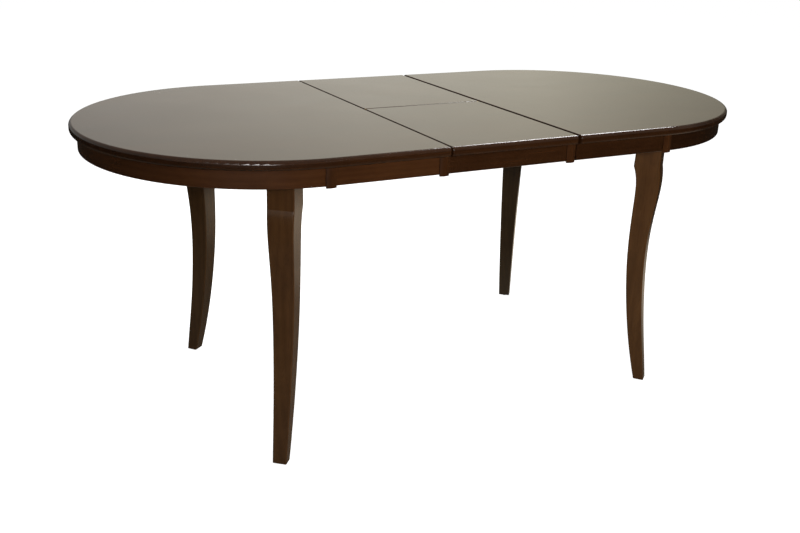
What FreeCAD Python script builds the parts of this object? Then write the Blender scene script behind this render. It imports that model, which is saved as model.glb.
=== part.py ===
import FreeCAD, Part
import math
import os
from FreeCAD import Vector

# Extending oval dining table with a folding centre leaf, shown with the leaf in place.
# Millimetres. Origin on the floor under the middle, X along the length, -Y the front, Z up.

# Top: two D-shaped ends and a leaf in two halves, all of one board thickness
table_height = 750.0
top_width = 895.0
end_straight = 274.0
leaf_width = 340.0
top_thickness = 22.0
left_gap = 4.5
right_gap = 9.0
edge_round = 8.0
joint_round = 2.0
seam_gap = 0.6

# Apron under the rim, with shallow rounded beads over its joints
apron_height = 42.0
apron_thickness = 20.0
top_overhang = 16.5
apron_round = 2.0
bead_width = 24.0
bead_side = 2.0
bead_proud = 5.0
bead_drop = 3.5
bead_round = 1.2
bead_past_tangent = 5.75
bead_past_joint = 4.2

# Sabre legs, set askew under the ends
leg_turn_degrees = 50.0
leg_section = 63.0
foot_width = 34.0
leg_from_tangent = 63.0
leg_from_side = 133.5
leg_round = 3.0
leg_levels = 16
glide_height = 3.0
glide_radius = 9.0
glide_shank_radius = 2.5
glide_shank_length = 18.0

# Rails across each end and the braces that the legs are bolted to
cross_rail_thickness = 22.0
cross_rail_height = 36.0
rail_leg_gap = 4.0
brace_thickness = 26.0
brace_height = 38.0
bolt_radius = 4.0
bolt_in_leg = 38.0
bolt_spacing = 18.0
bolt_end = 3.0
nut_sides = 6
nut_across_flats = 13.0
nut_height = 6.5

# Wooden slides: a centre rail runs between a rail of each end, on dovetail tongues
slide_from_side = 184.5
slide_thickness = 20.0
slide_height = 38.0
slide_gap = 1.0
slide_reach = 75.0
slide_relief = 1.0
centre_rail_half_length = 250.0
centre_rail_drop = 2.0
tongue_depth = 5.0
tongue_root = 10.0
tongue_tip = 14.0
tongue_height = 11.0
tongue_clearance = 0.4

# Racks and pinions that make both ends move alike
gear_module = 2.5
pinion_teeth = 12
pressure_angle_degrees = 25.0
gear_backlash = 0.3
root_clearance = 0.6
rack_height = 10.0
rack_depth = 3.0
rack_drop = 4.0
rack_teeth_out = 9
rack_teeth_in = 24
axle_radius = 3.0
axle_stop = 4.0
pocket_margin = 1.5
face_clearance = 0.3

# Bearers under the slides, which carry the leaf on two pivots
bearer_width = 24.0
bearer_height = 22.0
bearer_from_leaf = 18.0
pivot_share = 0.25
pivot_drop = 11.5
pivot_radius = 4.0
pivot_eye = 9.0
bracket_thickness = 3.0
bracket_width = 36.0
tab_thickness = 4.0
tab_from_edge = 10.0
plate_thickness = 2.0
plate_length = 34.0
pin_past_tab = 4.0
pad_radius = 9.0
pad_from_edge = 50.0

# Links let into the leaf's ends at the seam, studded to the back half, slotted over a pin in the front half
link_inset = 3.0
link_thickness = 2.0
link_half_height = 2.6
link_recess = 2.4
link_stud_radius = 1.25
link_stud_length = 12.0

# Butt hinges of the leaf's own aprons
hinge_length = 50.0
hinge_from_middle = 100.0
hinge_knuckle_radius = 2.4
hinge_axis_inset = 3.0
hinge_plate = 1.5
hinge_flap = 25.0
hinge_pin_radius = 1.0
hinge_side_gap = 0.5
knuckle_share = 0.3

# Barrel bolts that hold the leaf level with the ends
lock_from_side = 117.5
lock_rod_radius = 4.0
lock_drop = 8.0
lock_travel = 26.0
lock_slack = 2.0
lock_tip_inset = 1.5
lock_guide_length = 8.0
lock_guide_first = 6.0
lock_guide_width = 13.0
lock_plate_width = 30.0
lock_knob_radius = 3.0
lock_knob_length = 13.0
keeper_inset = 3.0
keeper_length = 10.0
keeper_play = 1.5

# Peg ends in the joint edges that level the boards as they close
peg_radius = 4.0
peg_proud = 4.0
peg_embed = 20.0
peg_nose = 1.5
socket_depth = 6.0
peg_place_shares = (0.2, 0.86)

# Wood screws
screw_radius = 2.5
screw_head_radius = 4.5
screw_head_height = 3.0
screw_bite = 14.0
slide_screw_first = 30.0
slide_screw_step = 95.0
slide_screw_count = 3

# Clearances
running_clearance = 0.05
hole_clearance = 0.1
socket_clearance = 0.3
seat_clearance = 0.3
cut_over = 1.0
plane_tolerance = 0.01

# Leg in its own upright plane: height share, then how far out a face lies as a share of the top's section
leg_outer_shares = (
    (0.0, 0.917),
    (0.1, 0.76),
    (0.22, 0.574),
    (0.36, 0.419),
    (0.5, 0.35),
    (0.62, 0.404),
    (0.72, 0.53),
    (0.79, 0.58),
    (0.845, 0.52),
)
leg_inner_shares = (
    (0.0, 0.468),
    (0.1, 0.19),
    (0.22, -0.069),
    (0.36, -0.283),
    (0.5, -0.402),
    (0.62, -0.413),
    (0.72, -0.382),
    (0.79, -0.395),
    (0.845, -0.55),
)
leg_seat_share = 0.94

# Places worked out from the sizes above
top_under = table_height - top_thickness
end_radius = top_width / 2
joint_x = leaf_width / 2 + (left_gap + right_gap) / 2
tangent_x = joint_x + end_straight
leaf_x = (left_gap - right_gap) / 2
leaf_low_x = leaf_x - leaf_width / 2
leaf_high_x = leaf_x + leaf_width / 2
apron_face = end_radius - top_overhang
apron_back = apron_face - apron_thickness
apron_bottom = top_under - apron_height
leg_turn = math.radians(leg_turn_degrees)
leg_x = tangent_x + leg_from_tangent
leg_y = end_radius - leg_from_side
leg_height = top_under - glide_height
leg_reach = (math.cos(leg_turn) + math.sin(leg_turn)) * leg_section / 2
inner_rail_x = leg_x - leg_reach - rail_leg_gap
outer_rail_x = leg_x + leg_reach + rail_leg_gap
slide_offset = end_radius - slide_from_side
slide_bottom = top_under - slide_height
centre_bottom = slide_bottom - centre_rail_drop
centre_top = top_under - slide_relief
slide_step = slide_thickness + slide_gap
pitch_radius = gear_module * pinion_teeth / 2
gear_pitch = math.pi * gear_module
rack_top = top_under - rack_drop
rack_bottom = rack_top - rack_height
bearer_x = leaf_width / 2 + abs(leaf_x) + bearer_from_leaf
pivot_y = end_radius * pivot_share
pivot_z = top_under - pivot_drop
hinge_z = top_under - hinge_axis_inset
hinge_y = apron_back - hinge_axis_inset
link_pin_y = seam_gap / 2 + link_inset
link_pin_z = table_height - link_inset
link_play = 2 * link_pin_y * (math.sqrt(2) - 1)
lock_offset = end_radius - lock_from_side
lock_z = top_under - lock_drop
lock_knob_place = lock_guide_first + lock_guide_length + lock_slack + lock_travel + lock_knob_radius
lock_guide_second = lock_knob_place + lock_knob_radius + lock_slack
lock_rod_length = lock_guide_second + lock_guide_length + lock_travel + lock_slack - lock_tip_inset
mirror_x = Vector(1, 0, 0)
mirror_y = Vector(0, 1, 0)
origin = Vector(0, 0, 0)
sides = (("front", -1), ("back", 1))
ends = (("left", -1), ("right", 1))


def block(x, y, z):
    """A box between two values on each axis, given in either order."""
    low = Vector(min(x), min(y), min(z))
    return Part.makeBox(abs(x[1] - x[0]), abs(y[1] - y[0]), abs(z[1] - z[0]), low)


def prism(points, along):
    """A flat outline of straight edges drawn out along a vector."""
    return Part.Face(Part.makePolygon(list(points) + [points[0]])).extrude(along)


def rod(start, along, radius, length):
    return Part.makeCylinder(radius, length, start, along)


def at_end(shape, end):
    return shape if end > 0 else shape.mirror(origin, mirror_x)


def at_side(shape, side):
    return shape if side > 0 else shape.mirror(origin, mirror_y)


def both_sides(shapes, end):
    return [at_end(at_side(shape, side), end) for shape in shapes for _, side in sides]


def four_corners(shape):
    return both_sides([shape], -1) + both_sides([shape], 1)


def cut_all(shape, tools):
    for tool in tools:
        shape = shape.cut(tool)
    return shape


def round_edges(shape, radius, chosen):
    return shape.makeFillet(radius, [edge for edge in shape.Edges if chosen(edge)])


def lies_at(edge, axis, value):
    """Whether the whole edge lies in the plane where that coordinate has that value."""
    low = getattr(edge.BoundBox, axis + "Min")
    high = getattr(edge.BoundBox, axis + "Max")
    return max(abs(low - value), abs(high - value)) < plane_tolerance


def save(name, shapes):
    shape = shapes[0] if len(shapes) == 1 else Part.makeCompound(shapes)
    shape.exportStep("parts/" + name + ".step")


def wood_screw(place, grip):
    """An upright screw whose flat head is flush with the lower face of what it holds."""
    head = Part.makeCone(screw_head_radius, screw_radius, screw_head_height, place)
    return head.fuse(rod(place, Vector(0, 0, 1), screw_radius, grip + screw_bite))


def wood_screw_hole(place, grip):
    radius = screw_radius + hole_clearance
    head = Part.makeCone(screw_head_radius + hole_clearance, radius, screw_head_height, place)
    return head.fuse(rod(place, Vector(0, 0, 1), radius, grip + screw_bite + hole_clearance))


# Pegs stand in the joint edges of the ends, and their sockets are bored in the leaf
def peg_places():
    return [(side, end_radius * share) for _, side in sides for share in peg_place_shares]


def peg(place_y):
    middle = Vector(joint_x - peg_proud, place_y, table_height - top_thickness / 2)
    shape = rod(middle, mirror_x, peg_radius, peg_proud + peg_embed)
    return round_edges(shape, peg_nose, lambda edge: lies_at(edge, "X", middle.x))


def peg_hole(place_y):
    middle = Vector(joint_x - cut_over, place_y, table_height - top_thickness / 2)
    return rod(middle, mirror_x, peg_radius, peg_embed + cut_over)


# Each end's board: straight sides, a half-round end and a rounded nose along the rim
def end_outline(radius, start_x):
    front, back = Vector(start_x, -radius, 0), Vector(start_x, radius, 0)
    front_tangent, back_tangent = Vector(tangent_x, -radius, 0), Vector(tangent_x, radius, 0)
    edges = [
        Part.LineSegment(back, front).toShape(),
        Part.LineSegment(front, front_tangent).toShape(),
        Part.Arc(front_tangent, Vector(tangent_x + radius, 0, 0), back_tangent).toShape(),
        Part.LineSegment(back_tangent, back).toShape(),
    ]
    return Part.Face(Part.Wire(edges))


def end_prism(radius, start_x, low, high):
    face = end_outline(radius, start_x)
    face.translate(Vector(0, 0, low))
    return face.extrude(Vector(0, 0, high - low))


def end_board(end):
    board = end_prism(end_radius, joint_x, top_under, table_height)

    def on_rim(edge):
        flat = lies_at(edge, "Z", table_height) or lies_at(edge, "Z", top_under)
        return flat and not lies_at(edge, "X", joint_x)

    def on_joint(edge):
        return lies_at(edge, "X", joint_x) and lies_at(edge, "Z", table_height)

    board = round_edges(board, edge_round, on_rim)
    board = round_edges(board, joint_round, on_joint)
    holes = [peg_hole(side * place) for side, place in peg_places()]
    holes += [wood_screw_hole(place, slide_height) for place in slide_screw_places(end)]
    return cut_all(board, holes)


# Apron: a bent half ring, two straight sides and half-round beads with a flat back
def curved_apron():
    ring = end_prism(apron_face, joint_x, apron_bottom, top_under)
    ring = ring.cut(end_prism(apron_back, joint_x - cut_over, apron_bottom - cut_over, top_under + cut_over))
    bent = block((tangent_x, tangent_x + end_radius), (-end_radius, end_radius), (apron_bottom, top_under))

    def along_bottom(edge):
        return lies_at(edge, "Z", apron_bottom) and edge.Length > end_radius

    return round_edges(ring.common(bent), apron_round, along_bottom)


def straight_apron(low_x, high_x, face_y, top_z):
    board = block((low_x, high_x), (apron_back, face_y), (apron_bottom, top_z))

    def along_bottom(edge):
        across = lies_at(edge, "X", low_x) or lies_at(edge, "X", high_x)
        return lies_at(edge, "Z", apron_bottom) and not across

    return round_edges(board, apron_round, along_bottom)


def bead(middle_x, top_z):
    """A strip with a rounded face and an eased foot, drawn a little into the apron that it is cut to."""
    half = bead_width / 2
    back_y = apron_face - cut_over
    side_y = apron_face + bead_side
    low_z = apron_bottom - bead_drop
    low_back, low_side = Vector(middle_x - half, back_y, low_z), Vector(middle_x - half, side_y, low_z)
    high_back, high_side = Vector(middle_x + half, back_y, low_z), Vector(middle_x + half, side_y, low_z)
    edges = [
        Part.LineSegment(low_back, low_side).toShape(),
        Part.Arc(low_side, Vector(middle_x, apron_face + bead_proud, low_z), high_side).toShape(),
        Part.LineSegment(high_side, high_back).toShape(),
        Part.LineSegment(high_back, low_back).toShape(),
    ]
    strip = Part.Face(Part.Wire(edges)).extrude(Vector(0, 0, top_z - low_z))

    def round_foot(edge):
        return lies_at(edge, "Z", low_z) and not lies_at(edge, "Y", back_y)

    return round_edges(strip, bead_round, round_foot)


def end_bead(middle_x):
    behind = end_prism(apron_face, joint_x - bead_width, apron_bottom - bead_width, top_under + cut_over)
    return bead(middle_x, top_under).cut(behind)


# Leg: a sabre profile, tapered sideways to the foot and eased at its corners, below a straight block
def leg_frame(shape):
    """Turns a shape from the leg's own plane (outward along X) to its place under the back right corner."""
    shape.rotate(origin, Vector(0, 0, 1), leg_turn_degrees)
    shape.translate(Vector(leg_x, leg_y, 0))
    return shape


def rounded_outline(low_x, high_x, half_y, level, radius):
    """A rectangle with rounded corners, as one closed wire."""
    arcs = []
    for out_x, out_y in ((1, 1), (-1, 1), (-1, -1), (1, -1)):
        corner_x = high_x if out_x > 0 else low_x
        middle = Vector(corner_x - out_x * radius, out_y * (half_y - radius), level)
        along_x = middle + Vector(out_x * radius, 0, 0)
        along_y = middle + Vector(0, out_y * radius, 0)
        diagonal = middle + Vector(out_x, out_y, 0) * (radius / math.sqrt(2))
        first, last = (along_x, along_y) if out_x * out_y > 0 else (along_y, along_x)
        arcs.append((first, diagonal, last))
    edges = []
    for arc, following in zip(arcs, arcs[1:] + arcs[:1]):
        edges.append(Part.Arc(*arc).toShape())
        edges.append(Part.LineSegment(arc[-1], following[0]).toShape())
    return Part.Wire(edges)


def leg_level(share):
    return glide_height + share * leg_height


def leg_curve(shares):
    curve = Part.BSplineCurve()
    curve.interpolate([Vector(out * leg_section, 0, leg_level(up)) for up, out in shares])
    return curve.toShape()


def leg_profile():
    """The side view of the curved part, from the foot to the pointed haunch on the inner face."""
    outer, inner = leg_curve(leg_outer_shares), leg_curve(leg_inner_shares)
    foot = Part.LineSegment(inner.Vertexes[0].Point, outer.Vertexes[0].Point).toShape()
    haunch = Part.LineSegment(outer.Vertexes[-1].Point, inner.Vertexes[-1].Point).toShape()
    return Part.Face(Part.Wire([foot, outer, haunch, inner]))


def leg():
    profile = leg_profile()
    block_share = leg_outer_shares[-1][0]
    outlines = []
    for step in range(leg_levels + 1):
        along_share = step / leg_levels
        level = leg_level(block_share * along_share)
        half_width = (foot_width + (leg_section - foot_width) * along_share) / 2
        cut = profile.slice(Vector(0, 0, 1), level)[0].BoundBox
        outlines.append(rounded_outline(cut.XMin, cut.XMax, half_width, level, leg_round))
    curved = Part.makeLoft(outlines, True, False)
    outer_x = leg_outer_shares[-1][1] * leg_section
    seat_level = leg_level(leg_seat_share)
    seat = rounded_outline(-leg_section / 2, outer_x, leg_section / 2, seat_level, leg_round)
    haunch = Part.makeLoft([outlines[-1], seat], True, True)
    upper = Part.Face(seat).extrude(Vector(0, 0, top_under - seat_level))
    return curved.fuse(haunch).fuse(upper)


def leg_bolt_heights():
    middle = top_under - brace_height / 2
    return (middle - bolt_spacing / 2, middle + bolt_spacing / 2)


def leg_bolt(height):
    start = -leg_section / 2 - brace_thickness - nut_height - bolt_end
    length = bolt_end + nut_height + brace_thickness + bolt_in_leg
    return leg_frame(rod(Vector(start, 0, height), mirror_x, bolt_radius, length))


def leg_bolt_hole(height):
    start = -leg_section / 2 - brace_thickness - cut_over
    length = cut_over + brace_thickness + bolt_in_leg + hole_clearance
    return leg_frame(rod(Vector(start, 0, height), mirror_x, bolt_radius + hole_clearance, length))


def leg_nut(height):
    seat = -leg_section / 2 - brace_thickness
    corner = nut_across_flats / 2 / math.cos(math.pi / nut_sides)
    turns = [2 * math.pi * step / nut_sides for step in range(nut_sides)]
    points = [Vector(seat, corner * math.cos(turn), height + corner * math.sin(turn)) for turn in turns]
    mouth = Vector(seat + cut_over, 0, height)
    bore = rod(mouth, Vector(-1, 0, 0), bolt_radius + running_clearance, nut_height + 2 * cut_over)
    return leg_frame(prism(points, Vector(-nut_height, 0, 0)).cut(bore))


def leg_brace():
    seat = -leg_section / 2
    across = (outer_rail_x - inner_rail_x) / math.sin(leg_turn)
    upright = (top_under - brace_height, top_under)
    bar = leg_frame(block((seat, seat - brace_thickness), (-across, across), upright))
    between = block((inner_rail_x, outer_rail_x), (0, end_radius), upright)
    return cut_all(bar.common(between), [leg_bolt_hole(height) for height in leg_bolt_heights()])


def foot_middle():
    outer_share, inner_share = leg_outer_shares[0][1], leg_inner_shares[0][1]
    return (outer_share + inner_share) * leg_section / 2


def glide():
    disc = rod(Vector(foot_middle(), 0, 0), Vector(0, 0, 1), glide_radius, glide_height)
    return leg_frame(disc).fuse(glide_shank())


def glide_shank():
    place = Vector(foot_middle(), 0, 0)
    return leg_frame(rod(place, Vector(0, 0, 1), glide_shank_radius, glide_height + glide_shank_length))


# Rails across an end fill the width between the inner faces of its apron
def cross_rail(low_x, high_x):
    bar = block((low_x, high_x), (-end_radius, end_radius), (top_under - cross_rail_height, top_under))
    return bar.common(end_prism(apron_back, joint_x, apron_bottom, top_under))


# Slides: the centre rail is grooved on both faces, and each end's rail has a tongue that runs in it
def tongue(face_y, tip_y, growth):
    middle = slide_bottom + tongue_height
    root = tongue_root / 2 + growth
    tip = tongue_tip / 2 + growth
    corners = ((face_y, -root), (tip_y, -tip), (tip_y, tip), (face_y, root))
    return [Vector(0, along_y, middle + up) for along_y, up in corners]


def drawn_along_x(points, low_x, high_x):
    shape = prism(points, Vector(high_x - low_x, 0, 0))
    shape.translate(Vector(low_x, 0, 0))
    return shape


def slide_screw_places(end):
    """Under the solid outer part of a back rail and of its front twin, clear of the rack."""
    toward = end * (rack_back_y() + slide_thickness / 2 + slide_step) / 2
    places = []
    for _, side in sides:
        for step in range(slide_screw_count):
            along = joint_x + slide_screw_first + step * slide_screw_step
            places.append(Vector(along, side * (slide_offset + toward), slide_bottom))
    return places


def rack_back_y():
    return pitch_radius + gear_module + root_clearance + rack_depth


def end_slide_rail(end):
    """The back rail of an end, drawn at the right: outside the centre rail or, for the left end, inside it.

    The rack's bed runs out at the free end, so that the pinion clears the rail when the table is drawn apart.
    """
    near = slide_thickness / 2 + slide_gap
    far = near + slide_thickness
    start_x = -slide_reach
    finish_x = inner_rail_x - cross_rail_thickness
    rail = block((start_x, finish_x), (near, far), (slide_bottom, top_under))
    tip_y = slide_thickness / 2 - tongue_depth
    rail = rail.fuse(drawn_along_x(tongue(near + slide_gap, tip_y, 0), start_x, finish_x)).removeSplitter()
    bed = block(
        (start_x - cut_over, rack_teeth_in * gear_pitch),
        (near - cut_over, rack_back_y()),
        (rack_bottom, rack_top),
    )
    relief = block(
        (start_x - cut_over, joint_x + slide_relief + left_gap),
        (near - cut_over, far + cut_over),
        (centre_top, top_under + cut_over),
    )
    rail = rail.cut(bed).cut(relief)
    rail = rail if end > 0 else rail.mirror(origin, mirror_y)
    rail.translate(Vector(0, slide_offset, 0))
    holes = [wood_screw_hole(place, slide_height) for place in slide_screw_places(end) if place.y > 0]
    return cut_all(rail, holes)


def rack(end):
    """A toothed bar with straight-sided teeth, a space opposite the pinion's middle."""
    tip_y = pitch_radius - gear_module
    root_y = pitch_radius + gear_module + root_clearance
    slope = math.tan(math.radians(pressure_angle_degrees))
    half_tooth = gear_pitch / 4 - gear_backlash / 2
    half_tip = half_tooth - gear_module * slope
    half_root = half_tooth + (gear_module + root_clearance) * slope
    points = [Vector(-rack_teeth_out * gear_pitch, rack_back_y(), rack_bottom)]
    for count in range(-rack_teeth_out, rack_teeth_in):
        middle = (count + 1 / 2) * gear_pitch
        points.append(Vector(middle - half_root, root_y, rack_bottom))
        points.append(Vector(middle - half_tip, tip_y, rack_bottom))
        points.append(Vector(middle + half_tip, tip_y, rack_bottom))
        points.append(Vector(middle + half_root, root_y, rack_bottom))
    points.append(Vector(rack_teeth_in * gear_pitch, rack_back_y(), rack_bottom))
    bar = prism(points, Vector(0, 0, rack_height))
    bar = bar if end > 0 else bar.mirror(origin, mirror_y)
    bar.translate(Vector(0, slide_offset, 0))
    return bar


def pinion():
    """Involute teeth, one of them pointing at each rack."""
    angle = math.radians(pressure_angle_degrees)
    base_radius = pitch_radius * math.cos(angle)
    tip_radius = pitch_radius + gear_module
    root_radius = pitch_radius - gear_module - root_clearance
    half_at_pitch = math.pi / (2 * pinion_teeth)
    half_at_base = half_at_pitch + math.tan(angle) - angle
    flank = []
    flank_steps = 4
    for step in range(flank_steps + 1):
        radius = base_radius + (tip_radius - base_radius) * step / flank_steps
        roll = math.acos(base_radius / radius)
        flank.append((radius, half_at_base - (math.tan(roll) - roll)))
    profile = [(root_radius, -half_at_base)]
    profile += [(radius, -half) for radius, half in flank]
    profile += [(radius, half) for radius, half in reversed(flank)]
    profile += [(root_radius, half_at_base)]
    low = rack_bottom + face_clearance
    points = []
    for count in range(pinion_teeth):
        middle = math.pi / 2 + count * 2 * math.pi / pinion_teeth
        for radius, turn in profile:
            points.append(Vector(radius * math.cos(middle + turn), radius * math.sin(middle + turn), low))
    thickness = rack_height - 2 * face_clearance
    wheel = prism(points, Vector(0, 0, thickness))
    mouth = Vector(0, 0, low - cut_over)
    bore = rod(mouth, Vector(0, 0, 1), axle_radius + running_clearance, thickness + 2 * cut_over)
    wheel = wheel.cut(bore)
    wheel.translate(Vector(0, slide_offset, 0))
    return wheel


def pinion_axle():
    low = centre_bottom + axle_stop
    return rod(Vector(0, slide_offset, low), Vector(0, 0, 1), axle_radius, centre_top - low)


def centre_rail():
    half = slide_thickness / 2
    length = centre_rail_half_length
    rail = block((-length, length), (-half, half), (centre_bottom, centre_top))
    groove_y = half - tongue_depth - tongue_clearance
    outline = tongue(half + cut_over, groove_y, tongue_clearance)
    groove = drawn_along_x(outline, -length - cut_over, length + cut_over)
    rail = rail.cut(groove).cut(groove.mirror(origin, mirror_y))
    reach = pitch_radius + gear_module + pocket_margin
    rail = rail.cut(block((-reach, reach), (-half - cut_over, half + cut_over), (rack_bottom, rack_top)))
    rail.translate(Vector(0, slide_offset, 0))
    return cut_all(rail, [pinion_axle()] + [bearer_screw_hole(end) for _, end in ends])


# Bearers tie the two centre rails together and carry the leaf's pivots
def bearer():
    low = centre_bottom - bearer_height
    reach = slide_offset + slide_thickness / 2
    bar = block((bearer_x, bearer_x + bearer_width), (-reach, reach), (low, centre_bottom))
    return cut_all(bar, [at_side(bearer_screw_hole(1), side) for _, side in sides])


def bearer_screw_place(end):
    return Vector(end * (bearer_x + bearer_width / 2), slide_offset, centre_bottom - bearer_height)


def bearer_screw_hole(end):
    return wood_screw_hole(bearer_screw_place(end), bearer_height)


def eye_plate(low_x, high_x, edge_z):
    """An upright ear with a round end about the pivot, drawn along X."""
    middle = Vector(low_x, pivot_y, pivot_z)
    ear = rod(middle, mirror_x, pivot_eye, high_x - low_x)
    return ear.fuse(block((low_x, high_x), (pivot_y - pivot_eye, pivot_y + pivot_eye), (pivot_z, edge_z)))


def pivot_bracket():
    upright = eye_plate(bearer_x, bearer_x + bracket_thickness, centre_bottom)
    base = block(
        (bearer_x, bearer_x + bearer_width),
        (pivot_y - bracket_width / 2, pivot_y + bracket_width / 2),
        (centre_bottom, centre_bottom + bracket_thickness),
    )
    mouth = Vector(bearer_x - cut_over, pivot_y, pivot_z)
    bore = rod(mouth, mirror_x, pivot_radius, bracket_thickness + 2 * cut_over)
    return upright.fuse(base).removeSplitter().cut(bore)


def pivot_pin():
    start = leaf_width / 2 - abs(leaf_x) - tab_from_edge - tab_thickness - pin_past_tab
    return rod(Vector(start, pivot_y, pivot_z), mirror_x, pivot_radius, bearer_x + bracket_thickness - start)


def rest_pad(middle_x):
    place = Vector(middle_x, slide_offset, centre_top)
    return rod(place, Vector(0, 0, 1), pad_radius, top_under - centre_top)


def leaf_pivot_plate(end):
    """A flat screwed under the back half, with an ear on the pivot pin."""
    edge = leaf_width / 2 - tab_from_edge
    ear = eye_plate(edge - tab_thickness, edge, top_under)
    flat = block(
        (edge - plate_length, edge),
        (pivot_y - bracket_width / 2, pivot_y + bracket_width / 2),
        (top_under - plate_thickness, top_under),
    )
    mouth = Vector(edge - plate_length, pivot_y, pivot_z)
    bore = rod(mouth, mirror_x, pivot_radius + running_clearance, plate_length + cut_over)
    shape = at_end(ear.fuse(flat).removeSplitter().cut(bore), end)
    shape.translate(Vector(leaf_x, 0, 0))
    return shape


# Leaf: two boards that meet at a seam along the middle, eased so that they fold face to face
def link_recess_cut(edge_x, inward, play):
    room = link_half_height + play + socket_clearance
    return block(
        (edge_x - inward * cut_over, edge_x + inward * link_recess),
        (0, link_pin_y + room),
        (link_pin_z - room, table_height + cut_over),
    )


def link_stud(edge_x, inward, radius):
    place = Vector(edge_x + inward * (link_recess - link_thickness), link_pin_y, link_pin_z)
    return rod(place, Vector(inward, 0, 0), radius, link_thickness + link_stud_length)


def round_ended_bar(low_x, high_x, low_y, high_y, radius):
    bar = block((low_x, high_x), (low_y, high_y), (link_pin_z - radius, link_pin_z + radius))
    for middle_y in (low_y, high_y):
        bar = bar.fuse(rod(Vector(low_x, middle_y, link_pin_z), mirror_x, radius, high_x - low_x))
    return bar.removeSplitter()


def seam_link(edge_x, inward):
    """A flat link, slotted as far as the front half's pin runs along it while the halves fold together."""
    low_x, high_x = sorted(edge_x + inward * depth for depth in (link_recess - link_thickness, link_recess))
    plate = round_ended_bar(low_x, high_x, -link_pin_y - link_play, link_pin_y, link_half_height)
    slot_y = (-link_pin_y - link_play, -link_pin_y)
    slot = round_ended_bar(low_x - cut_over, high_x + cut_over, *slot_y, link_stud_radius + hole_clearance)
    return plate.cut(slot).fuse(link_stud(edge_x, inward, link_stud_radius)).removeSplitter()


def leaf_edges():
    """Each end edge of the leaf with the direction into the board."""
    return ((leaf_low_x, 1), (leaf_high_x, -1))


def leaf_half(side):
    """One half, drawn at the back. The stud turns in the back half; the pin is tight in the front half."""
    stud_hole_radius = link_stud_radius + (running_clearance if side > 0 else 0)
    play = 0 if side > 0 else link_play
    seam_y = seam_gap / 2
    seam_round = link_inset + socket_clearance
    board = block((leaf_low_x, leaf_high_x), (seam_y, end_radius), (top_under, table_height))

    def on_joint(edge):
        return lies_at(edge, "X", leaf_low_x) or lies_at(edge, "X", leaf_high_x)

    def on_rim(edge):
        return lies_at(edge, "Y", end_radius) and not on_joint(edge)

    def on_seam(edge):
        return lies_at(edge, "Y", seam_y) and lies_at(edge, "Z", table_height)

    board = round_edges(board, edge_round, on_rim)
    board = round_edges(board, seam_round, on_seam)
    board = round_edges(board, joint_round, lambda edge: on_joint(edge) and lies_at(edge, "Z", table_height))
    tools = []
    for edge_x, inward in leaf_edges():
        tools.append(link_recess_cut(edge_x, inward, play))
        tools.append(link_stud(edge_x, inward, stud_hole_radius))
        for share in peg_place_shares:
            mouth = Vector(edge_x - inward * cut_over, end_radius * share, table_height - top_thickness / 2)
            depth = socket_depth + cut_over
            tools.append(rod(mouth, Vector(inward, 0, 0), peg_radius + socket_clearance, depth))
    return cut_all(board, tools)


# The leaf's own aprons hang on butt hinges and fold flat under it
def skirt():
    """Set back by a clearance, so that it swings in past the beads of the ends."""
    return straight_apron(leaf_low_x, leaf_high_x, apron_face - seat_clearance, top_under - seat_clearance)


def skirt_bead():
    middle_x = leaf_high_x + bead_past_joint - bead_width / 2
    strip = bead(middle_x, top_under - seat_clearance)
    behind = block(
        (middle_x - bead_width, middle_x + bead_width),
        (0, apron_face - seat_clearance),
        (apron_bottom - bead_width, top_under),
    )
    return strip.cut(behind)


def hinge_middles():
    return [leaf_x - hinge_from_middle, leaf_x + hinge_from_middle]


def knuckle_spans(middle_x):
    """The two outer knuckles belong to the leaf, the middle one to the apron."""
    low = middle_x - hinge_length / 2
    high = middle_x + hinge_length / 2
    outer = hinge_length * knuckle_share
    inner = (low + outer + hinge_side_gap, high - outer - hinge_side_gap)
    return (low, low + outer), inner, (high - outer, high)


def knuckle(span, radius):
    return rod(Vector(span[0], hinge_y, hinge_z), mirror_x, radius, span[1] - span[0])


def fixed_hinge(middle_x):
    first, _, last = knuckle_spans(middle_x)
    under = (top_under - hinge_plate, top_under)
    clear_y = hinge_y - hinge_knuckle_radius - hinge_side_gap
    shape = block((first[0], last[1]), (clear_y - hinge_flap, clear_y), under)
    for span in (first, last):
        shape = shape.fuse(block(span, (clear_y, hinge_y), under))
        shape = shape.fuse(knuckle(span, hinge_knuckle_radius))
    shape = shape.removeSplitter()
    return cut_all(shape, [knuckle(span, hinge_pin_radius + running_clearance) for span in (first, last)])


def folding_hinge(middle_x):
    first, inner, last = knuckle_spans(middle_x)
    against = (apron_back - hinge_plate, apron_back)
    clear_z = hinge_z - hinge_knuckle_radius - hinge_side_gap
    shape = block((first[0], last[1]), against, (clear_z - hinge_flap, clear_z))
    shape = shape.fuse(block(inner, against, (clear_z, hinge_z)))
    shape = shape.fuse(knuckle(inner, hinge_knuckle_radius))
    shape = shape.fuse(knuckle((first[0], last[1]), hinge_pin_radius))
    return shape.removeSplitter()


# Barrel bolts: a case under each end, a rod with a knob, and a keeper under the leaf
def lock_block(low_x, high_x, bore_radius):
    guide = block(
        (low_x, high_x),
        (lock_offset - lock_guide_width / 2, lock_offset + lock_guide_width / 2),
        (lock_z - lock_guide_width / 2, top_under),
    )
    mouth = Vector(low_x - cut_over, lock_offset, lock_z)
    bore = rod(mouth, mirror_x, bore_radius, high_x - low_x + 2 * cut_over)
    return guide, bore


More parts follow.
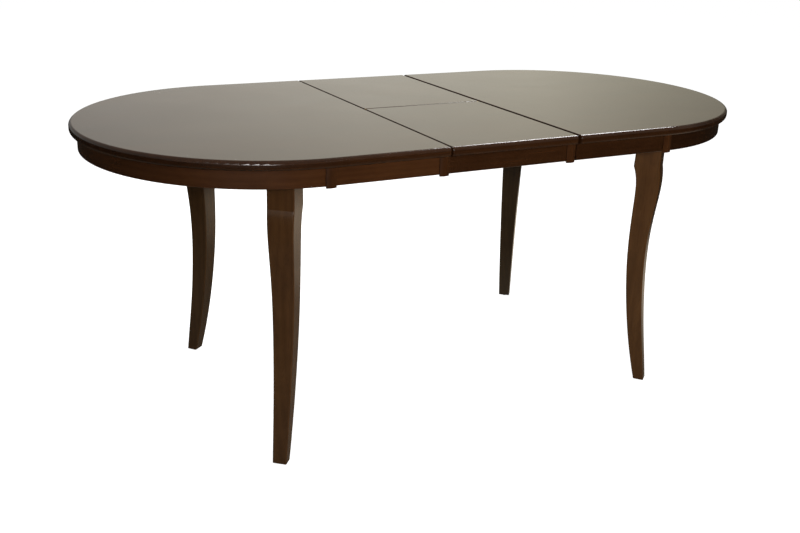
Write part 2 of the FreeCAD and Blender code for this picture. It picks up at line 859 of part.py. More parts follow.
def lock_case():
    first = joint_x + lock_guide_first
    last = joint_x + lock_guide_second + lock_guide_length
    shape = block(
        (first, last),
        (lock_offset - lock_plate_width / 2, lock_offset + lock_plate_width / 2),
        (top_under - plate_thickness, top_under),
    )
    bores = []
    for low_x in (first, last - lock_guide_length):
        guide, bore = lock_block(low_x, low_x + lock_guide_length, lock_rod_radius + running_clearance)
        shape = shape.fuse(guide)
        bores.append(bore)
    return cut_all(shape.removeSplitter(), bores)


def lock_bolt():
    start = Vector(joint_x + lock_tip_inset, lock_offset, lock_z)
    shape = rod(start, mirror_x, lock_rod_radius, lock_rod_length)
    knob_top = Vector(joint_x + lock_knob_place, lock_offset, lock_z)
    knob = rod(knob_top, Vector(0, 0, -1), lock_knob_radius, lock_rod_radius + lock_knob_length)
    return shape.fuse(knob)


def keeper(end):
    """A bent strip under the back half that the bolt of this end shoots into."""
    edge = leaf_width / 2 - keeper_inset
    along = (edge - keeper_length, edge)
    inside = lock_rod_radius + keeper_play
    outside = inside + plate_thickness
    strip = block(along, (lock_offset - outside, lock_offset + outside), (lock_z - outside, top_under))
    feet_y = (lock_offset - lock_plate_width / 2, lock_offset + lock_plate_width / 2)
    strip = strip.fuse(block(along, feet_y, (top_under - plate_thickness, top_under)))
    room = block(
        (edge - keeper_length - cut_over, edge + cut_over),
        (lock_offset - inside, lock_offset + inside),
        (lock_z - inside, top_under + cut_over),
    )
    shape = at_end(strip.removeSplitter().cut(room), end)
    shape.translate(Vector(leaf_x, 0, 0))
    return shape


os.makedirs("parts", exist_ok=True)

# Ends
leg_holes = [leg_bolt_hole(height) for height in leg_bolt_heights()] + [glide_shank()]
back_leg = cut_all(leg_frame(leg()), leg_holes)
inner_rail = cross_rail(inner_rail_x - cross_rail_thickness, inner_rail_x)
outer_rail = cross_rail(outer_rail_x, outer_rail_x + cross_rail_thickness)
side_apron = straight_apron(joint_x, tangent_x, apron_face, top_under)
for end_name, end in ends:
    # the left end has a bead at both ends of its straight apron, the right end only at the curve
    bead_places = [tangent_x + bead_past_tangent]
    bead_places += [joint_x - bead_past_joint + bead_width / 2] if end < 0 else []
    beads = [end_bead(place) for place in bead_places]
    bolts = [leg_bolt(height) for height in leg_bolt_heights()]
    nuts = [leg_nut(height) for height in leg_bolt_heights()]
    screws = [wood_screw(place, slide_height) for place in slide_screw_places(end)]
    save(end_name + "_top", [at_end(end_board(end), end)])
    save(end_name + "_curved_apron", [at_end(curved_apron(), end)])
    save(end_name + "_side_aprons", both_sides([side_apron], end))
    save(end_name + "_beads", both_sides(beads, end))
    save(end_name + "_inner_cross_rail", [at_end(inner_rail, end)])
    save(end_name + "_outer_cross_rail", [at_end(outer_rail, end)])
    for side_name, side in sides:
        save(end_name + "_" + side_name + "_leg", [at_end(at_side(back_leg, side), end)])
        save(end_name + "_" + side_name + "_lock_bolt", [at_end(at_side(lock_bolt(), side), end)])
    save(end_name + "_leg_braces", both_sides([leg_brace()], end))
    save(end_name + "_hanger_bolts", both_sides(bolts + nuts, end))
    save(end_name + "_foot_glides", both_sides([glide()], end))
    save(end_name + "_slide_rails", both_sides([end_slide_rail(end)], end))
    save(end_name + "_racks", both_sides([rack(end)], end))
    save(end_name + "_slide_screws", [at_end(screw, end) for screw in screws])
    save(end_name + "_pegs", [at_end(peg(side * place), end) for side, place in peg_places()])
    save(end_name + "_lock_cases", both_sides([lock_case()], end))

# Centre frame
for side_name, side in sides:
    save(side_name + "_centre_rail", [at_side(centre_rail(), side)])
    save(side_name + "_pinion", [at_side(pinion(), side)])
save("cross_bearers", [at_end(bearer(), end) for _, end in ends])
save("bearer_screws", four_corners(wood_screw(bearer_screw_place(1), bearer_height)))
save("pinion_axles", [at_side(pinion_axle(), side) for _, side in sides])
save("pivot_brackets", [at_end(piece, end) for piece in (pivot_bracket(), pivot_pin()) for _, end in ends])
save("rest_pads", four_corners(rest_pad(leaf_width / 2 - pad_from_edge)))

# Leaf
for side_name, side in sides:
    save("leaf_" + side_name, [at_side(leaf_half(side), side)])
    save("leaf_" + side_name + "_keepers", [at_side(keeper(end), side) for _, end in ends])
    save(side_name + "_leaf_apron", [at_side(skirt(), side)])
    save(side_name + "_leaf_bead", [at_side(skirt_bead(), side)])
    save(side_name + "_fixed_hinges", [at_side(fixed_hinge(middle), side) for middle in hinge_middles()])
    save(side_name + "_folding_hinges", [at_side(folding_hinge(middle), side) for middle in hinge_middles()])
save("leaf_pivot_plates", [leaf_pivot_plate(end) for _, end in ends])
save("seam_links", [seam_link(edge_x, inward) for edge_x, inward in leaf_edges()])
front_pins = [at_side(link_stud(edge_x, inward, link_stud_radius), -1) for edge_x, inward in leaf_edges()]
save("front_link_pins", front_pins)
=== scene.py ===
import math

import bmesh
import bpy
from mathutils import Matrix, Vector


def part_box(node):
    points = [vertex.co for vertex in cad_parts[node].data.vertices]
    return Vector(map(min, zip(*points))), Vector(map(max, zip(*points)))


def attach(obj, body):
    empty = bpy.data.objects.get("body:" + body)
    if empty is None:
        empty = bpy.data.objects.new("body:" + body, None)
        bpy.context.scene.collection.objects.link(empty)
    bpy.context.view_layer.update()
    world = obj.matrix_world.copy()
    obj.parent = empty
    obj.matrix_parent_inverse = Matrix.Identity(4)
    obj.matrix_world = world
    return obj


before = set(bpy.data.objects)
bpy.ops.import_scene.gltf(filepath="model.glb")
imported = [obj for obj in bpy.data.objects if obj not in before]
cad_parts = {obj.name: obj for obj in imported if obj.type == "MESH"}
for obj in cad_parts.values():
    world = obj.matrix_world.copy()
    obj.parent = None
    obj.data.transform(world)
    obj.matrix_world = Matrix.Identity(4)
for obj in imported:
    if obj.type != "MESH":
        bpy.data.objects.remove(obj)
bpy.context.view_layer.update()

# Extending oval dining table in dark stained hardwood, with its folding leaf in place.
# Metres, in the part's own frame: X along the length, -Y the front, Z up, floor at zero.


# Boards of the top: two D-shaped ends and the two halves of the leaf.
# Hardwood staves edge-glued into wide boards, nosed along the rim, stained dark and lacquered.
# The undersides only get a thin sealing coat, so they are duller than the faces.
def add(tree, kind, feeds=None, **settings):
    """One shader node; each feed is a plain value or another node's output."""
    made = tree.nodes.new("ShaderNode" + kind)
    for name, value in settings.items():
        setattr(made, name, value)
    for socket, value in (feeds or {}).items():
        if isinstance(value, bpy.types.NodeSocket):
            tree.links.new(value, made.inputs[socket])
        else:
            made.inputs[socket].default_value = value
    return made


def new_group(name, inputs, outputs):
    """An empty node group with its named sockets, ready to be filled."""
    group = bpy.data.node_groups.new(name, "ShaderNodeTree")
    for label, kind in inputs.items():
        group.interface.new_socket(label, in_out="INPUT", socket_type="NodeSocket" + kind)
    for label, kind in outputs.items():
        group.interface.new_socket(label, in_out="OUTPUT", socket_type="NodeSocket" + kind)
    return group, group.nodes.new("NodeGroupInput").outputs, group.nodes.new("NodeGroupOutput").inputs


def placed(tree, group, **feeds):
    """A node group set into a material, fed by the names of its sockets."""
    return add(tree, "Group", feeds, node_tree=group).outputs


def math_node(tree, operation, *values, clamp=False):
    feeds = dict(enumerate(values))
    return add(tree, "Math", feeds, operation=operation, use_clamp=clamp).outputs[0]


def times(tree, value, share):
    return math_node(tree, "MULTIPLY", value, share)


def plus(tree, onto, value, share, clamp=False):
    """A value with a share of another one added to it."""
    return math_node(tree, "MULTIPLY_ADD", value, share, onto, clamp=clamp)


def plus_swing(tree, onto, value, share):
    """A value with a texture added to it that swings both ways about its middle."""
    return plus(tree, onto, math_node(tree, "SUBTRACT", value, 0.5), share)


def remap(tree, value, low, high, to_low=0.0, to_high=1.0):
    feeds = {"Value": value, "From Min": low, "From Max": high, "To Min": to_low, "To Max": to_high}
    return add(tree, "MapRange", feeds).outputs["Result"]


def stretched(tree, vector, scale):
    return add(tree, "VectorMath", {0: vector, 1: scale}, operation="MULTIPLY").outputs[0]


def noise(tree, vector, scale=1.0, detail=2.0, distortion=0.0):
    feeds = {"Vector": vector, "Scale": scale, "Detail": detail, "Distortion": distortion}
    return add(tree, "TexNoise", feeds).outputs["Fac"]


def wood_grain_group():
    """Growth rings, slow figure and fine pores of wood whose fibres run along the vector's X."""
    slow_stretch = (1.4, 11.0, 11.0)
    streak_stretch = (5.0, 260.0, 260.0)
    pore_stretch = (24.0, 900.0, 900.0)
    ring_stretch, ring_heart = (0.06, 1.0, 1.0), (0.0, 0.05, -0.2)
    ring_share, slow_share, streak_share = 0.12, 0.68, 0.20
    streak_rise = 0.3
    inputs = {"Fibres": "Vector", "Rings": "Float"}
    outputs = {"Figure": "Float", "Pores": "Float", "Height": "Float"}
    group, given, out = new_group("wood_grain", inputs, outputs)
    slow_place = stretched(group, given["Fibres"], slow_stretch)
    slow = noise(group, slow_place, scale=1.6, detail=4.0, distortion=0.5)
    heart_feeds = {0: given["Fibres"], 1: ring_stretch, 2: ring_heart}
    heart = add(group, "VectorMath", heart_feeds, operation="MULTIPLY_ADD").outputs[0]
    wave = {"Vector": heart, "Scale": given["Rings"], "Distortion": 4.0, "Detail": 3.0, "Detail Scale": 0.9}
    rings = add(group, "TexWave", wave, wave_type="RINGS", rings_direction="X").outputs["Fac"]
    streaks = noise(group, stretched(group, given["Fibres"], streak_stretch), detail=3.0)
    fine = noise(group, stretched(group, given["Fibres"], pore_stretch), detail=1.0)
    pores = remap(group, fine, low=0.56, high=0.70)
    figure = plus(group, times(group, rings, ring_share), slow, slow_share)
    group.links.new(plus(group, figure, streaks, streak_share), out["Figure"])
    group.links.new(pores, out["Pores"])
    raised = math_node(group, "SUBTRACT", times(group, streaks, streak_rise), pores)
    group.links.new(raised, out["Height"])
    return group


def staves_group():
    """A board glued up from staves along X, each with grain of its own and a slightly different tone."""
    moved_along, moved_apart = 7.0, 3.0
    inputs = {"Place": "Vector", "Width": "Float"}
    outputs = {"Fibres": "Vector", "Tone": "Float"}
    group, given, out = new_group("staves", inputs, outputs)
    split = add(group, "SeparateXYZ", {0: given["Place"]}).outputs
    count = math_node(group, "FLOOR", math_node(group, "DIVIDE", split["Y"], given["Width"]))
    within = plus(group, split["Y"], count, times(group, given["Width"], -1.0))
    tone = add(group, "TexWhiteNoise", {"W": count}, noise_dimensions="1D").outputs["Value"]
    along = plus(group, split["X"], tone, moved_along)
    apart = plus(group, split["Z"], tone, moved_apart)
    own_grain = add(group, "CombineXYZ", {"X": along, "Y": within, "Z": apart})
    group.links.new(own_grain.outputs[0], out["Fibres"])
    group.links.new(tone, out["Tone"])
    return group


def edge_wear_group():
    """How near a point lies to a sharp edge, broken up as handling breaks it up."""
    group, given, out = new_group("edge_wear", {"Place": "Vector", "Width": "Float"}, {"Edge": "Float"})
    eased = add(group, "Bevel", {"Radius": given["Width"]}, samples=4).outputs["Normal"]
    plain = add(group, "NewGeometry").outputs["Normal"]
    alike = add(group, "VectorMath", {0: eased, 1: plain}, operation="DOT_PRODUCT").outputs["Value"]
    near = remap(group, alike, low=0.995, high=0.86)
    broken = remap(group, noise(group, given["Place"], scale=38.0, detail=4.0), low=0.36, high=0.66)
    group.links.new(times(group, near, broken), out["Edge"])
    return group


def handling_group():
    """Faint smears and settled dust that dull a polished face unevenly."""
    group, given, out = new_group("handling", {"Place": "Vector"}, {"Smear": "Float", "Specks": "Float"})
    broad = noise(group, given["Place"], scale=5.0, detail=5.0, distortion=0.8)
    fine = noise(group, given["Place"], scale=210.0)
    group.links.new(remap(group, broad, low=0.35, high=0.72), out["Smear"])
    group.links.new(remap(group, fine, low=0.62, high=0.74), out["Specks"])
    return group


wood_grain = wood_grain_group()
glued_staves = staves_group()
edge_wear = edge_wear_group()
handling = handling_group()


def new_material(name):
    """An empty material with its Principled shader, and the piece's own coordinates."""
    material = bpy.data.materials.new(name)
    material.use_nodes = True
    tree = material.node_tree
    shader = tree.nodes["Principled BSDF"]
    place = add(tree, "TexCoord").outputs
    return material, tree, shader, place


def ramp(tree, value, stops):
    """A colour for each value, between the stops given as (place, colour)."""
    made = add(tree, "ValToRGB", {"Fac": value})
    elements = made.color_ramp.elements
    while len(elements) < len(stops):
        elements.new(0.5)
    for element, (place, colour) in zip(elements, stops):
        element.position = place
        element.color = (*colour, 1.0)
    return made.outputs["Color"]


def mixed(tree, share, first, second, blend="MIX"):
    """One colour laid over another; a colour is another node's output or a plain red, green and blue."""
    made = add(tree, "Mix", data_type="RGBA", blend_type=blend)
    for socket, value in (("Factor_Float", share), ("A_Color", first), ("B_Color", second)):
        target = next(found for found in made.inputs if found.identifier == socket)
        if isinstance(value, bpy.types.NodeSocket):
            tree.links.new(value, target)
        elif isinstance(value, tuple):
            target.default_value = (*value, 1.0)
        else:
            target.default_value = value
    return next(found for found in made.outputs if found.identifier == "Result_Color")


def bump(tree, shader, height, strength, distance):
    made = add(tree, "Bump", {"Height": height, "Strength": strength, "Distance": distance})
    tree.links.new(made.outputs["Normal"], shader.inputs["Normal"])


quarter_turn = math.pi / 2
along_length = (0.0, 0.0, 0.0)
along_width = (0.0, 0.0, -quarter_turn)
along_height = (0.0, quarter_turn, 0.0)


def fibres_at(tree, vector, turn, shift):
    """The piece's coordinates turned so that X follows the fibres, shifted so that no two boards match."""
    feeds = {"Vector": vector, "Rotation": turn, "Location": shift}
    return add(tree, "Mapping", feeds).outputs["Vector"]


deep_stain = (0.046, 0.0152, 0.0042)
even_stain = (0.062, 0.0212, 0.0060)
warm_stain = (0.080, 0.0285, 0.0085)
worn_stain = (0.13, 0.052, 0.018)
pore_stain = (0.026, 0.009, 0.0030)
stain_tones = ((0.25, deep_stain), (0.50, even_stain), (0.80, warm_stain))
no_cast = (1.0, 1.0, 1.0)
stave_width = 0.105
stave_contrast = 0.10
board_rings = 26.0
blotch_stretch = (14.0, 30.0, 30.0)
blotch_contrast = 0.5
pore_share = 0.30
worn_share = 0.12
worn_width = 0.0012
lacquer_ior = 1.5
lacquer_roughness = 0.18
smear_roughness = 0.025
speck_roughness = 0.015
sealer_roughness = 0.25
lacquer_ripple = {"strength": 0.03, "distance": 0.0001}


def lacquered_wood(name, turn, shift, stain_and_shade, cast_and_mirrored_tint=no_cast, bend=None, staved=False):
    """Dark spirit stain under clear lacquer, over straight, bent or edge-glued wood.

    No two boards take the stain alike. The lightness given also carries painted light and shade, set piece
    by piece to how brightly each is lit, and the cast also carries a painted tint of what the piece
    reflects.
    For bent wood, bend is the group that unrolls it and the place where its bend starts.
    """
    material, tree, shader, place = new_material(name)
    vector = place["Object"]
    if bend is not None:
        unrolling, bend_start = bend
        vector = placed(tree, unrolling, Place=vector, Tangent=bend_start)["Fibres"]
    fibres = fibres_at(tree, vector, turn, shift)
    if staved:
        glued = placed(tree, glued_staves, Place=fibres, Width=stave_width)
        fibres = glued["Fibres"]
    grain = placed(tree, wood_grain, Fibres=fibres, Rings=board_rings)
    touched = placed(tree, handling, Place=place["Object"])
    edge = placed(tree, edge_wear, Place=place["Object"], Width=worn_width)["Edge"]
    blotches = noise(tree, stretched(tree, fibres, blotch_stretch), detail=3.0, distortion=0.6)
    figure = plus_swing(tree, grain["Figure"], blotches, blotch_contrast)
    if staved:
        figure = plus_swing(tree, figure, glued["Tone"], stave_contrast)
    # painted light and shade: each piece's stain is scaled and tinted to how it is lit and what it
    # reflects, not only to its own stain
    tones = [(at, [stain_and_shade * lean * part for lean, part in zip(cast_and_mirrored_tint, stain)]) for at, stain in stain_tones]
    colour = ramp(tree, figure, tones)
    colour = mixed(tree, times(tree, grain["Pores"], pore_share), colour, pore_stain)
    colour = mixed(tree, times(tree, edge, worn_share), colour, worn_stain)
    tree.links.new(colour, shader.inputs["Base Color"])
    upward = add(tree, "SeparateXYZ", {0: place["Normal"]}).outputs["Z"]
    facing_down = remap(tree, upward, low=-0.97, high=-0.995)
    dull = plus(tree, lacquer_roughness, touched["Smear"], smear_roughness)
    dull = plus(tree, dull, touched["Specks"], speck_roughness)
    dull = plus(tree, dull, facing_down, sealer_roughness, clamp=True)
    tree.links.new(dull, shader.inputs["Roughness"])
    shader.inputs["IOR"].default_value = lacquer_ior
    bump(tree, shader, grain["Height"], **lacquer_ripple)
    return material


def dress(material, *nodes):
    """Gives CAD nodes their finish."""
    for node in nodes:
        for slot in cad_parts[node].material_slots:
            slot.material = material


# each board's place in the plank that it was cut from, and how light it renders: partly its own stain,
# partly painted shade set board by board to how it is lit
boards = {
    "left_top": ((0.4, 0.07, 0.02), 0.48),
    "right_top": ((-1.3, 0.02, -0.05), 0.40),
    "leaf_front": ((2.1, -0.015, 0.03), 0.44),
    "leaf_back": ((-2.6, 0.033, -0.02), 0.46),
}
for board, (shift, stain_and_shade) in boards.items():
    dress(lacquered_wood(board + "_lacquer", along_length, shift, stain_and_shade, staved=True), board)


# Aprons and beads: a bent ring under each round end, straight boards under the sides,
# and shallow rounded beads glued over the joints. The same stain and lacquer as the top.
def unrolled_group():
    """The path along a straight side and then round a half-round end, as one straight run."""
    inputs = {"Place": "Vector", "Tangent": "Float"}
    group, given, out = new_group("unrolled_rim", inputs, {"Fibres": "Vector"})
    split = add(group, "SeparateXYZ", {0: given["Place"]}).outputs
    length = math_node(group, "ABSOLUTE", split["X"])
    past = math_node(group, "MAXIMUM", math_node(group, "SUBTRACT", length, given["Tangent"]), 0.0)
    turn = math_node(group, "ARCTAN2", past, split["Y"])
    squares = plus(group, times(group, split["Y"], split["Y"]), past, past)
    radius = math_node(group, "SQRT", squares)
    run = times(group, turn, radius)
    joined = add(group, "CombineXYZ", {"X": run, "Y": radius, "Z": split["Z"]})
    group.links.new(joined.outputs[0], out["Fibres"])
    return group


rim_bend = (unrolled_group(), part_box("right_curved_apron")[0].x)
# how light each end's bent apron and straight aprons render: partly their own stain, partly painted light
# and shade, lighter at the left end where the lamps fall strongest and darker at the right
apron_stain_and_shade = {"left": (0.90, 0.80), "right": (0.26, 0.42)}
bent_shift, straight_shift = (0.0, 0.0, 0.0), (3.3, 0.4, 0.1)
# the leaf's aprons are set darker, partly as painted shade and partly as their own stain
leaf_apron_shift, leaf_apron_stain_and_shade = (5.3, -0.4, 0.3), 0.46
bead_shift, bead_depth = (0.2, 0.9, 0.4), 0.6
for end, (bent, straight) in apron_stain_and_shade.items():
    bent_lacquer = lacquered_wood(end + "_bend_lacquer", along_length, bent_shift, bent, bend=rim_bend)
    dress(bent_lacquer, end + "_curved_apron")
    straight_lacquer = lacquered_wood(end + "_apron_lacquer", along_length, straight_shift, straight)
    dress(straight_lacquer, end + "_side_aprons")
leaf_apron_lacquer = lacquered_wood("leaf_apron_lacquer", along_length, leaf_apron_shift, leaf_apron_stain_and_shade)
dress(leaf_apron_lacquer, "front_leaf_apron", "back_leaf_apron")
bead_lacquer = lacquered_wood("bead_lacquer", along_height, bead_shift, bead_depth)
dress(bead_lacquer, "left_beads", "right_beads", "front_leaf_bead", "back_leaf_bead")


# Legs: sabre legs bandsawn and spindle-moulded from solid blanks, eased at the corners and lacquered.
# Each stands askew under its corner and is drawn tight to its brace by hanger bolts.
# The blanks came from different boards, so each took the stain in its own way; each leg's lightness and
# cast also carry painted light and shade and a painted tint of the room it reflects, set leg by leg.
leg_blanks = {
    "left_front_leg": ((0.3, 0.2, 0.1), 1.14, (1.0, 1.20, 1.20)),
    "left_back_leg": ((1.7, -0.3, 0.5), 1.0, (0.95, 1.25, 1.20)),
    "right_front_leg": ((-0.9, 0.6, -0.4), 1.32, (1.0, 1.20, 1.15)),
    "right_back_leg": ((2.9, 0.1, 0.8), 0.65, (0.90, 1.35, 1.40)),
}
for leg, (shift, stain_and_shade, cast_and_mirrored_tint) in leg_blanks.items():
    dress(lacquered_wood(leg + "_lacquer", along_height, shift, stain_and_shade, cast_and_mirrored_tint), leg)


# Frame under each end: rails across it and braces behind the legs, planed hardwood left unstained.
# The slides, centre rails and bearers are the same wood, waxed so that they run.
pale_tones = ((0.30, (0.30, 0.165, 0.075)), (0.52, (0.43, 0.26, 0.13)), (0.76, (0.52, 0.34, 0.19)))
pale_pores, pale_pore_share = (0.16, 0.08, 0.035), 0.45
grime, grime_share = (0.22, 0.13, 0.07), 0.22
rubbed_wood, rubbed_share, rubbed_width = (0.60, 0.43, 0.26), 0.5, 0.0015
frame_rings = 46.0
clean_roughness, grimy_roughness = 0.46, 0.62
planed_texture = {"strength": 0.25, "distance": 0.0003}


def frame_wood(name, turn, shift):
    """Pale close-grained hardwood, planed and waxed, a little grubby with age."""
    material, tree, shader, place = new_material(name)
    fibres = fibres_at(tree, place["Object"], turn, shift)
    grain = placed(tree, wood_grain, Fibres=fibres, Rings=frame_rings)
    touched = placed(tree, handling, Place=place["Object"])
    edge = placed(tree, edge_wear, Place=place["Object"], Width=rubbed_width)["Edge"]
    colour = ramp(tree, grain["Figure"], pale_tones)
    colour = mixed(tree, times(tree, grain["Pores"], pale_pore_share), colour, pale_pores)
    colour = mixed(tree, times(tree, touched["Smear"], grime_share), colour, grime)
    colour = mixed(tree, times(tree, edge, rubbed_share), colour, rubbed_wood)
    tree.links.new(colour, shader.inputs["Base Color"])
    dull = remap(tree, touched["Smear"], 0.0, 1.0, clean_roughness, grimy_roughness)
    tree.links.new(dull, shader.inputs["Roughness"])
    bump(tree, shader, grain["Height"], **planed_texture)
    return material


across_shift, lengthways_shift = (0.5, 0.2, 0.1), (0.1, 0.7, 0.3)
across_frame = frame_wood("frame_wood_across", along_width, across_shift)
lengthways_frame = frame_wood("frame_wood_lengthways", along_length, lengthways_shift)
for end in ("left", "right"):
    dress(across_frame, end + "_inner_cross_rail", end + "_outer_cross_rail", end + "_leg_braces")
    dress(lengthways_frame, end + "_slide_rails")
dress(lengthways_frame, "front_centre_rail", "back_centre_rail")
dress(across_frame, "cross_bearers")


# Steel hardware: racks and pinions, axles, screws, hanger bolts, pivots, bolts and keepers.
# Pressed, cut or drawn mild steel with a bright zinc plating that dulls and spots with age.
draw_stretch = (120.0, 1500.0, 1500.0)
draw_lines = {"strength": 0.12, "distance": 0.0001}
spot_share, spot_roughness = 0.6, 0.2
polished_share, polished_width, polished_gain = 0.5, 0.0006, 1.25
cloud_roughness, crystal_roughness = 0.14, 0.05


def plated_metal(name, bright, dull, spotted, finish):
    """Metal with a crystalline plating, fine draw lines and dull spots."""
    material, tree, shader, place = new_material(name)
    edge = placed(tree, edge_wear, Place=place["Object"], Width=polished_width)["Edge"]
    crystals = add(tree, "TexVoronoi", {"Vector": place["Object"], "Scale": 260.0}).outputs["Distance"]
    cloudy = noise(tree, place["Object"], scale=46.0, detail=4.0, distortion=0.5)
    lines = noise(tree, stretched(tree, place["Object"], draw_stretch))
    spots = remap(tree, noise(tree, place["Object"], scale=160.0, detail=3.0), low=0.63, high=0.74)
    polished = tuple(min(1.0, polished_gain * part) for part in bright)
    colour = ramp(tree, cloudy, ((0.34, dull), (0.62, bright)))
    colour = mixed(tree, times(tree, spots, spot_share), colour, spotted)
    colour = mixed(tree, times(tree, edge, polished_share), colour, polished)
    tree.links.new(colour, shader.inputs["Base Color"])
    shader.inputs["Metallic"].default_value = 1.0
    rough = remap(tree, cloudy, 0.3, 0.7, finish, finish + cloud_roughness)
    rough = plus(tree, rough, spots, spot_roughness)
    rough = plus(tree, rough, crystals, crystal_roughness, clamp=True)
    tree.links.new(rough, shader.inputs["Roughness"])
    bump(tree, shader, lines, **draw_lines)
    return material


bright_zinc, dull_zinc, spotted_zinc = (0.62, 0.62, 0.60), (0.42, 0.43, 0.42), (0.20, 0.19, 0.17)
zinc = plated_metal("zinc_plate", bright_zinc, dull_zinc, spotted_zinc, finish=0.26)
for end in ("left", "right"):
    dress(zinc, end + "_hanger_bolts", end + "_racks", end + "_slide_screws", end + "_lock_cases")
    dress(zinc, end + "_front_lock_bolt", end + "_back_lock_bolt")
dress(zinc, "front_pinion", "back_pinion", "pinion_axles", "bearer_screws", "front_link_pins")
dress(zinc, "pivot_brackets", "leaf_pivot_plates", "leaf_front_keepers", "leaf_back_keepers")


# Brass hardware: butt hinges of the leaf's aprons, the links at the seam and the levelling pegs.
# Rolled and turned brass, left bare, gone brown where it isn't rubbed.
bright_brass, dull_brass, spotted_brass = (0.66, 0.44, 0.17), (0.42, 0.26, 0.09), (0.16, 0.09, 0.035)
brass = plated_metal("aged_brass", bright_brass, dull_brass, spotted_brass, finish=0.24)
dress(brass, "front_fixed_hinges", "back_fixed_hinges", "front_folding_hinges", "back_folding_hinges")
dress(brass, "seam_links", "left_pegs", "right_pegs")


# Screws: cross-headed wood screws with raised heads, cold-headed from wire.
# Brass ones hold the hinges, and zinc plated ones the pivots, barrel bolts and keepers.
head_sides = 32
recess_spacing = head_sides // 4
# a head's rings from its rim inwards, as shares of its radius and height
head_rings = ((1.0, 0.0), (1.0, 0.30), (0.90, 0.66), (0.72, 0.88), (0.52, 1.0), (0.42, 1.0), (0.22, 1.0))
recess_reach = 0.45
recess_depth = 0.6
shank_share = 0.52
crease_angle = math.radians(35)


def ring_of(form, radius, place, facing, across, sunk=0.0):
    """A ring of points about the screw's axis; the cross recess sinks the points that lie in its arms."""
    other = facing.cross(across)
    ring = []
    for step in range(head_sides):
        turn = 2 * math.pi * step / head_sides
        nearest = min(step % recess_spacing, -step % recess_spacing)
        drop = sunk if nearest <= 1 else 0.0
        outward = math.cos(turn) * across + math.sin(turn) * other
        ring.append(form.verts.new(place + radius * outward - drop * facing))
    return ring


def join_rings(form, first, second):
    for step in range(head_sides):
        after = (step + 1) % head_sides
        form.faces.new((first[step], first[after], second[after], second[step]))


def add_screw(form, seat, facing, head_radius, head_height, length):
    """One screw: pointed shank, raised head with a cross recess, its head bearing on the seat."""
    across = facing.orthogonal().normalized()
    shank = shank_share * head_radius
    neck = ring_of(form, shank, seat, facing, across)
    end = ring_of(form, shank, seat - (length - 2 * shank) * facing, facing, across)
    tip = form.verts.new(seat - length * facing)
    for step in range(head_sides):
        form.faces.new((tip, end[(step + 1) % head_sides], end[step]))
    join_rings(form, end, neck)
    before = neck
    for radius_share, height_share in head_rings:
        sunk = recess_depth * head_height if radius_share < recess_reach else 0.0
        place = seat + height_share * head_height * facing
        ring = ring_of(form, radius_share * head_radius, place, facing, across, sunk)
        join_rings(form, before, ring)
        before = ring
    bottom = form.verts.new(seat + (1.0 - recess_depth) * head_height * facing)
    for step in range(head_sides):
        form.faces.new((before[step], before[(step + 1) % head_sides], bottom))


def screws(name, body, slot, seats, facing, head_radius, head_height, length):
    """A set of like screws on one body, as one piece."""
    form = bmesh.new()
    for seat in seats:
        add_screw(form, Vector(seat), Vector(facing), head_radius, head_height, length)
    bmesh.ops.recalc_face_normals(form, faces=form.faces)
    mesh = bpy.data.meshes.new(name)
    form.to_mesh(mesh)
    form.free()
    mesh.polygons.foreach_set("use_smooth", [True] * len(mesh.polygons))
    mesh.set_sharp_from_angle(angle=crease_angle)
    mesh.materials.append({"brass": brass, "zinc_steel": zinc}[slot])
    piece = bpy.data.objects.new(name, mesh)
    bpy.context.scene.collection.objects.link(piece)
    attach(piece, body)


down, upwards = (0, 0, -1), (0, 0, 1)
# head radius, head height and length
hinge_screw = (0.0023, 0.0009, 0.010)
plate_screw = (0.0028, 0.0014, 0.012)

hinge_length, hinge_plate, plate_thickness = 0.050, 0.0015, 0.002
hinge_row = (-0.018, 0.0, 0.018)
row_depths = (0.0065, 0.0165, 0.0065)
keeper_length, keeper_foot = 0.010, 0.0075
for side, outward in (("front", -1), ("back", 1)):
    low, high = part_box(side + "_fixed_hinges")
    middles = (low.x + hinge_length / 2, high.x - hinge_length / 2)
    inner = min(abs(low.y), abs(high.y))
    places = [(x + along, deep) for x in middles for along, deep in zip(hinge_row, row_depths)]
    seats = [(x, outward * (inner + deep), high.z - hinge_plate) for x, deep in places]
    screws(side + "_fixed_hinge_screws", side + "_half", "brass", seats, down, *hinge_screw)

    low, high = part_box(side + "_folding_hinges")
    face = max(abs(low.y), abs(high.y)) - hinge_plate
    seats = [(x, outward * face, low.z + deep) for x, deep in places]
    screws(side + "_folding_hinge_screws", side + "_flap", "brass", seats, (0, -outward, 0), *hinge_screw)

    low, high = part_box("leaf_" + side + "_keepers")
    middles = (low.x + keeper_length / 2, high.x - keeper_length / 2)
    feet = (low.y + keeper_foot / 2, high.y - keeper_foot / 2)
    seats = [(x, y, high.z - plate_thickness) for x in middles for y in feet]
    screws(side + "_keeper_screws", side + "_half", "zinc_steel", seats, down, *plate_screw)

low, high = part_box("leaf_pivot_plates")
from_end, from_side = (0.016, 0.028), 0.006
pivot_sides = (low.y + from_side, high.y - from_side)
lengths = [low.x + inset for inset in from_end] + [high.x - inset for inset in from_end]
seats = [(x, y, high.z - plate_thickness) for x in lengths for y in pivot_sides]
screws("pivot_plate_screws", "back_half", "zinc_steel", seats, down, *plate_screw)

low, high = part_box("pivot_brackets")
bracket_base, base_middle = 0.003, 0.0105
middles = (low.x + base_middle, high.x - base_middle)
seats = [(x, y, low.z + bracket_base) for x in middles for y in pivot_sides]
screws("pivot_bracket_screws", "centre_frame", "zinc_steel", seats, upwards, *plate_screw)

